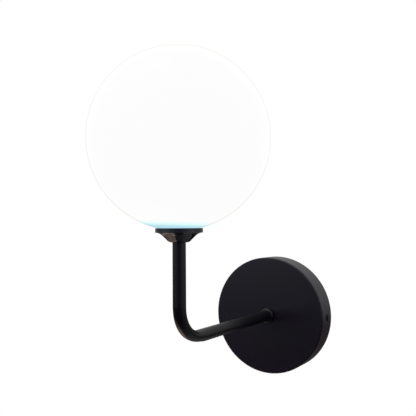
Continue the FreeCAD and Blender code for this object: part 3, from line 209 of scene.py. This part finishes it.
def plated_metal(name, tones, roughness, stretch=(1, 1, 1)):
    """Plated metal: a cloudy tone with fine drawing lines."""
    material, graph, shader = surface(name, Metallic=1.0)
    cloud = graph.noise(scale=260, detail=5)
    graph.join(graph.tones(cloud, tones), shader.inputs["Base Color"])
    lines = graph.noise(scale=2600, detail=3, source=graph.stretched(*stretch))
    graph.join(graph.spread(lines, *roughness), shader.inputs["Roughness"])
    graph.join(graph.bump(lines, height=0.004 * MM, strength=0.3), shader.inputs["Normal"])
    return material


def moulded(name, tones, roughness, grain=900, sheen=0.0):
    """Moulded plastic, rubber or ceramic: slight mottling and a fine skin."""
    material, graph, shader = surface(name, Sheen_Weight=sheen)
    mottle = graph.noise(scale=180, detail=4)
    graph.join(graph.tones(mottle, tones), shader.inputs["Base Color"])
    skin = graph.noise(scale=grain, detail=4)
    graph.join(graph.spread(skin, *roughness), shader.inputs["Roughness"])
    graph.join(graph.bump(skin, height=0.02 * MM, strength=0.35), shader.inputs["Normal"])
    return material


GREEN = (0.03, 0.22, 0.03)
YELLOW = (0.75, 0.6, 0.02)
STRIPES = [(0.35, GREEN), (0.45, YELLOW)]
STRIPE_SCALE = 150


def striped_sleeve():
    """Green and yellow sleeve of an earth lead."""
    material, graph, shader = surface("earth_sleeve", Roughness=0.4)
    wave = graph.add("ShaderNodeTexWave", wave_type="BANDS", bands_direction="DIAGONAL")
    wave.inputs["Scale"].default_value = STRIPE_SCALE
    graph.join(graph.place(), wave.inputs["Vector"])
    graph.join(graph.ramp(wave.outputs["Fac"], STRIPES), shader.inputs["Base Color"])
    grain = graph.noise(scale=2200)
    graph.join(graph.bump(grain, height=0.01 * MM, strength=0.3), shader.inputs["Normal"])
    return material


# Lit glass

# The light is tinted just above the neck by the glass's own green-blue tint, and darkened there with painted
# shade from the cup. It also dims at the outline, where the glass is seen edge on.
OPAL_TONES = ((0.003, 0.003, 0.003), (0.005, 0.005, 0.005))
OPAL_LIGHT = 0.975
TINT_AND_SHADE_LEAN = (0.038, 0.023, 1)
TINT_AND_SHADE_LOW = 86.8 * MM
TINT_AND_SHADE_HIGH = 96.4 * MM
# Glow colours from the neck upwards: the glass's tint, with painted shade from the cup in the lowest stops.
NECK_TINT_AND_SHADE = [
    (0.0, (0.4, 0.68, 0.82)),
    (0.1, (0.44, 0.72, 0.86)),
    (0.24, (0.5, 0.78, 0.88)),
    (0.34, (0.62, 0.9, 0.93)),
    (0.44, (0.74, 1.0, 1.0)),
    (0.6, (0.94, 1.0, 1.0)),
    (0.75, (1.0, 1.0, 1.0)),
]
OUTLINE = [
    (0.0, (1, 1, 1)),
    (0.83, (1, 1, 1)),
    (0.88, (0.88, 0.87, 0.83)),
    (1.0, (0.8, 0.79, 0.74)),
]


def lit_opal_glass():
    """Opal glass with the lamp on. The tint and painted shade at the neck lean a little."""
    material, graph, shader = surface("lit_opal_glass", Roughness=0.3, Specular_IOR_Level=0.02)
    cloud = graph.noise(scale=60, detail=3)
    graph.join(graph.tones(cloud, OPAL_TONES), shader.inputs["Base Color"])
    height = graph.spread(graph.along(graph.place(), TINT_AND_SHADE_LEAN), 0, 1, TINT_AND_SHADE_LOW, TINT_AND_SHADE_HIGH)
    wall = graph.add("ShaderNodeLayerWeight")
    wall.inputs["Blend"].default_value = 0.5
    glow = graph.multiply(graph.ramp(height, NECK_TINT_AND_SHADE), graph.ramp(wall.outputs["Facing"], OUTLINE))
    graph.join(glow, shader.inputs["Emission Color"])
    shader.inputs["Emission Strength"].default_value = OPAL_LIGHT
    ripple = graph.noise(scale=25, detail=2)
    graph.join(graph.bump(ripple, height=0.06 * MM, strength=0.3), shader.inputs["Normal"])
    return material


COVER_TONES = ((0.85, 0.83, 0.78), (0.9, 0.88, 0.84))
COVER_COLOUR = (1.0, 0.93, 0.82, 1)
COVER_LIGHT = 1.2


def lit_lamp_cover():
    """The lamp's own frosted cover, lit."""
    material, graph, shader = surface("lit_lamp_cover", Roughness=0.5)
    cloud = graph.noise(scale=120, detail=3)
    graph.join(graph.tones(cloud, COVER_TONES), shader.inputs["Base Color"])
    shader.inputs["Emission Color"].default_value = COVER_COLOUR
    shader.inputs["Emission Strength"].default_value = COVER_LIGHT
    grain = graph.noise(scale=3000)
    graph.join(graph.bump(grain, height=0.01 * MM, strength=0.3), shader.inputs["Normal"])
    return material


# Looks by name. Tones are the two ends of a slow cloud, and roughness has its own range.

PAINTS = {
    "canopy_black": dict(tones=((0.0106, 0.0079, 0.0156), (0.0125, 0.0094, 0.0182)), roughness=(0.28, 0.34),
                         grain=1500, depth=0.003 * MM),
    "tube_black": dict(tones=((0.0052, 0.0048, 0.0072), (0.0066, 0.0062, 0.0088)), roughness=(0.3, 0.35),
                       grain=900, depth=0.001 * MM),
    "cup_black": dict(tones=((0.022, 0.021, 0.031), (0.026, 0.025, 0.036)), roughness=(0.07, 0.1),
                      grain=900, depth=0.001 * MM),
    "oxide": dict(tones=((0.008, 0.008, 0.009), (0.014, 0.014, 0.015)), roughness=(0.4, 0.55),
                  grain=3000, depth=0.004 * MM),
}
METALS = {
    # Zinc darkened with painted shade, so that the strap reads dark through the canopy's side holes.
    "black_zinc": dict(tones=((0.045, 0.045, 0.05), (0.07, 0.07, 0.078)), roughness=(0.34, 0.5),
                       stretch=(0.06, 1, 1)),
    "part_zinc": dict(tones=((0.52, 0.52, 0.5), (0.66, 0.67, 0.66)), roughness=(0.34, 0.42)),
    "nickel": dict(tones=((0.6, 0.57, 0.5), (0.72, 0.69, 0.62)), roughness=(0.2, 0.32)),
    "brass": dict(tones=((0.6, 0.42, 0.16), (0.76, 0.56, 0.26)), roughness=(0.2, 0.36)),
}
MOULDINGS = {
    "steatite": dict(tones=((0.74, 0.71, 0.63), (0.84, 0.82, 0.76)), roughness=(0.3, 0.5), grain=2400),
    "lamp_plastic": dict(tones=((0.78, 0.78, 0.76), (0.84, 0.84, 0.82)), roughness=(0.3, 0.42)),
    "natural_nylon": dict(tones=((0.68, 0.66, 0.56), (0.78, 0.76, 0.67)), roughness=(0.35, 0.5)),
    "white_nylon": dict(tones=((0.78, 0.78, 0.75), (0.86, 0.86, 0.84)), roughness=(0.35, 0.5)),
    "silicone": dict(tones=((0.6, 0.62, 0.62), (0.7, 0.72, 0.72)), roughness=(0.55, 0.7), grain=600,
                     sheen=0.2),
    "brown_sleeve": dict(tones=((0.1, 0.035, 0.016), (0.14, 0.05, 0.022)), roughness=(0.35, 0.5), grain=2400),
    "blue_sleeve": dict(tones=((0.015, 0.09, 0.34), (0.025, 0.13, 0.44)), roughness=(0.35, 0.5), grain=2400),
    "laminate": dict(tones=((0.76, 0.78, 0.76), (0.86, 0.87, 0.86)), roughness=(0.3, 0.4), grain=3000),
    "phosphor": dict(tones=((0.85, 0.6, 0.08), (0.92, 0.7, 0.14)), roughness=(0.4, 0.5), grain=3000),
}
LOOKS = {
    "canopy_black": ["canopy"],
    "tube_black": ["arm_tube", "arm_collar"],
    "cup_black": ["fitter_cup"],
    "oxide": ["side_screws"],
    # The strap's zinc is darkened with painted shade.
    "black_zinc": ["mounting_strap"],
    "part_zinc": [
        "canopy_flat_washer", "canopy_lock_washer", "canopy_nut", "cup_lock_washer", "cup_nut", "carrier_nut",
        "shade_carrier", "lampholder_ring", "earth_lock_washer", "clamp_screws", "block_screws",
    ],
    "nickel": ["contact_springs", "earth_ring_terminal", "bulb_pins"],
    "brass": ["earth_screw", "terminal_inserts"],
    "steatite": ["lampholder_body"],
    "lamp_plastic": ["bulb_base"],
    "natural_nylon": ["wall_end_bushing", "lamp_end_bushing"],
    "white_nylon": ["terminal_block"],
    "silicone": ["globe_seal"],
    "brown_sleeve": ["live_lead"],
    "blue_sleeve": ["neutral_lead"],
    "earth_sleeve": ["earth_lead"],
    "laminate": ["bulb_led_board"],
    "phosphor": ["bulb_led_chips"],
    "opal": ["glass_globe"],
    "lamp_cover": ["bulb_envelope"],
}


def make_materials():
    """One material for each look."""
    materials = {
        "earth_sleeve": striped_sleeve(),
        "opal": lit_opal_glass(),
        "lamp_cover": lit_lamp_cover(),
    }
    for make, table in ((black_paint, PAINTS), (plated_metal, METALS), (moulded, MOULDINGS)):
        for name, values in table.items():
            materials[name] = make(name, **values)
    return materials


def dress_nodes(materials):
    for look, names in LOOKS.items():
        for name in names:
            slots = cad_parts[name].data.materials
            slots.clear()
            slots.append(materials[look])


# The carrier's thread

# A ridge on the plain cylinder of the solid. Half its foot is a share of the pitch, and its crest a share of
# the foot. It tapers over one part in six at either end, and its foot is sunk a little into the cylinder.
THREAD_RADIUS = 11.25 * MM
THREAD_HEIGHT = 0.22 * MM
THREAD_PITCH = 2.4 * MM
THREAD_START = 9 * MM
THREAD_END = 18.4 * MM
RIDGE_FOOT = 0.36
RIDGE_CREST = 0.25
RIDGE_TAPER = 6
RIDGE_SINK = 0.03 * MM
RIDGE_STEPS = 40


def ridge(name, body, look, centre, axis, radius, height, pitch, start, end):
    """A helical ridge on a cylinder."""
    axis = Vector(axis)
    side = axis.orthogonal().normalized()
    other = axis.cross(side)
    turns = (end - start) / pitch
    mesh = bmesh.new()
    rows = []
    count = round(turns * RIDGE_STEPS)
    for index in range(count + 1):
        share = index / count
        angle = 2 * math.pi * turns * share
        out = side * math.cos(angle) + other * math.sin(angle)
        taper = min(1, RIDGE_TAPER * share, RIDGE_TAPER * (1 - share))
        middle = Vector(centre) + axis * (start + (end - start) * share)
        half_foot = axis * pitch * RIDGE_FOOT
        half_crest = half_foot * RIDGE_CREST
        foot = middle + out * (radius - RIDGE_SINK)
        crest = middle + out * (radius + height * taper)
        rows.append([
            mesh.verts.new(foot - half_foot),
            mesh.verts.new(crest - half_crest),
            mesh.verts.new(crest + half_crest),
            mesh.verts.new(foot + half_foot),
        ])
    for first, second in zip(rows, rows[1:]):
        for index, corner in enumerate(first):
            following = (index + 1) % len(first)
            mesh.faces.new((corner, second[index], second[following], first[following]))
    mesh.faces.new(rows[0])
    mesh.faces.new(list(reversed(rows[-1])))
    bmesh.ops.recalc_face_normals(mesh, faces=mesh.faces)
    data = bpy.data.meshes.new(name)
    mesh.to_mesh(data)
    mesh.free()
    data.materials.append(look)
    piece = bpy.data.objects.new(name, data)
    bpy.context.scene.collection.objects.link(piece)
    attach(piece, body)


def add_thread(materials):
    low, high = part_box("shade_carrier")
    middle = (low + high) / 2
    foot = Vector((middle.x, middle.y, low.z))
    ridge("carrier_thread", "fixture", materials["part_zinc"], foot, UP, THREAD_RADIUS, THREAD_HEIGHT,
          THREAD_PITCH, THREAD_START, THREAD_END)


# Backdrop and floor

# The studio's light is a product of two tables: by height, and by how far a direction turns to the side where
# the photograph was taken. The floor's colour is painted light and shade: dark on that side, in front of the
# wall, and paler to the back.
WHITE = (1, 1, 1)
CAMERA_SIDE = (0.517, -0.856, 0)
LIGHT_BY_HEIGHT = [
    (0.0, (0.06, 0.055, 0.05)),
    (0.42, (0.12, 0.1, 0.11)),
    (0.47, (0.6, 0.6, 0.63)),
    (0.53, (0.9, 0.9, 0.9)),
    (0.62, (1.0, 1.0, 1.0)),
    (0.7, (1.25, 1.25, 1.23)),
    (1.0, (1.0, 1.0, 1.0)),
]
LIGHT_BY_SIDE = [
    (0.0, (0.48, 0.48, 0.47)),
    (0.12, (0.42, 0.42, 0.42)),
    (0.3, (0.42, 0.42, 0.42)),
    (0.5, (0.55, 0.55, 0.58)),
    (0.72, (0.76, 0.8, 0.9)),
    (0.85, (0.5, 0.54, 0.58)),
    (1.0, (0.1, 0.1, 0.14)),
]
FLOOR_HEIGHT = -1.3
FLOOR_SIZE = 25
FLOOR_FADE = 10
# Painted light and shade on the floor, seen only in reflections: dark in front of the wall, paler behind.
FLOOR_PAINTED_SHADE = [
    (0.35, (0.004, 0.003, 0.005)),
    (0.44, (0.03, 0.025, 0.03)),
    (0.5, (0.2, 0.18, 0.18)),
    (0.66, (0.12, 0.096, 0.09)),
    (0.85, (0.22, 0.18, 0.18)),
    (1.0, (0.4, 0.37, 0.38)),
]


def add_world():
    """White behind the object, and a soft studio round it: bright overhead, dim below and by the camera."""
    world = bpy.data.worlds.new("studio")
    bpy.context.scene.world = world
    world.use_nodes = True
    graph = Graph(world.node_tree)
    direction = graph.add("ShaderNodeTexCoord").outputs["Generated"]
    height = graph.spread(graph.along(direction, UP), 0, 1, -1, 1)
    side = graph.spread(graph.along(direction, CAMERA_SIDE), 0, 1, -1, 1)
    light = graph.add("ShaderNodeBackground")
    tone = graph.multiply(graph.ramp(height, LIGHT_BY_HEIGHT), graph.ramp(side, LIGHT_BY_SIDE))
    graph.join(tone, light.inputs["Color"])
    seen = graph.add("ShaderNodeBackground")
    seen.inputs["Color"].default_value = (*WHITE, 1)
    output = graph.add("ShaderNodeOutputWorld")
    switch = graph.with_backdrop(light.outputs["Background"], seen.outputs["Background"])
    graph.join(switch, output.inputs["Surface"])


def add_floor():
    """A floor as white as the backdrop where the camera sees it. Elsewhere its colour is painted light and
    shade, dark in front of the wall and paler behind.
    """
    bpy.ops.mesh.primitive_plane_add(size=FLOOR_SIZE, location=(0, 0, FLOOR_HEIGHT))
    floor = bpy.context.object
    floor.name = "floor"
    material = bpy.data.materials.new("floor")
    material.use_nodes = True
    graph = Graph(material.node_tree)
    matt = graph.add("ShaderNodeBsdfDiffuse")
    share = graph.spread(graph.along(graph.place(), (0, 1, 0)), 0, 1, -FLOOR_FADE, FLOOR_FADE)
    graph.join(graph.ramp(share, FLOOR_PAINTED_SHADE), matt.inputs["Color"])
    seen = graph.add("ShaderNodeEmission")
    output = graph.add("ShaderNodeOutputMaterial")
    switch = graph.with_backdrop(matt.outputs["BSDF"], seen.outputs["Emission"])
    graph.join(switch, output.inputs["Surface"])
    floor.data.materials.append(material)


# Lights

TOP_LIGHT_PLACE = (-0.3, -0.5, 1.3)
TOP_LIGHT_TARGET = (0, -0.1, 0)
TOP_LIGHT_SIZE = (0.9, 0.9)
TOP_LIGHT_POWER = 3

# A warm card and a white one lie below the object. The warm one shows in the cup's cone, and the white one
# under the elbow. Each strip of a card has a span across, a span along, a brightness and a colour.
CARD_CORNER = Vector((-0.083, -0.216, -0.28))
CARD_TURN = math.radians(28.2)
WARM = (1, 0.74, 0.6)
CARD_STRIPS = [
    (-0.28, -0.035, 0, 0.2, 0.96, WARM),
    (-0.035, 0.005, 0, 0.2, 2, WARM),
    (-0.28, 0, 0.2, 0.9, 0.44, WARM),
    (0.03, 0.5, 0.02, 0.45, 0.13, WHITE),
]


def area_light(name, place, target, size, power, colour, turn=0):
    """A rectangular light that faces the target, turned about the vertical. The camera doesn't see it."""
    data = bpy.data.lights.new(name, "AREA")
    data.shape = "RECTANGLE"
    data.size, data.size_y = size
    data.energy = power
    data.color = colour
    light = bpy.data.objects.new(name, data)
    aim = (Vector(target) - Vector(place)).to_track_quat("-Z", "Y").to_matrix().to_4x4()
    light.matrix_world = Matrix.Translation(place) @ Matrix.Rotation(turn, 4, "Z") @ aim
    bpy.context.scene.collection.objects.link(light)
    light.visible_camera = False


def add_cards():
    across = Vector((math.cos(CARD_TURN), math.sin(CARD_TURN), 0))
    along = Vector((-across.y, across.x, 0))
    for number, (start, end, low, high, tone, colour) in enumerate(CARD_STRIPS):
        middle = CARD_CORNER + across * (start + end) / 2 + along * (low + high) / 2
        width = end - start
        length = high - low
        power = tone * math.pi * width * length
        area_light(f"card_{number}", middle, middle + Vector(UP), (width, length), power, colour, CARD_TURN)


def add_lights():
    area_light("top", TOP_LIGHT_PLACE, TOP_LIGHT_TARGET, TOP_LIGHT_SIZE, TOP_LIGHT_POWER, WHITE)
    add_cards()


def main():
    add_camera()
    materials = make_materials()
    dress_nodes(materials)
    add_thread(materials)
    add_world()
    add_floor()
    add_lights()
    bpy.context.scene.view_settings.view_transform = "Standard"


main()
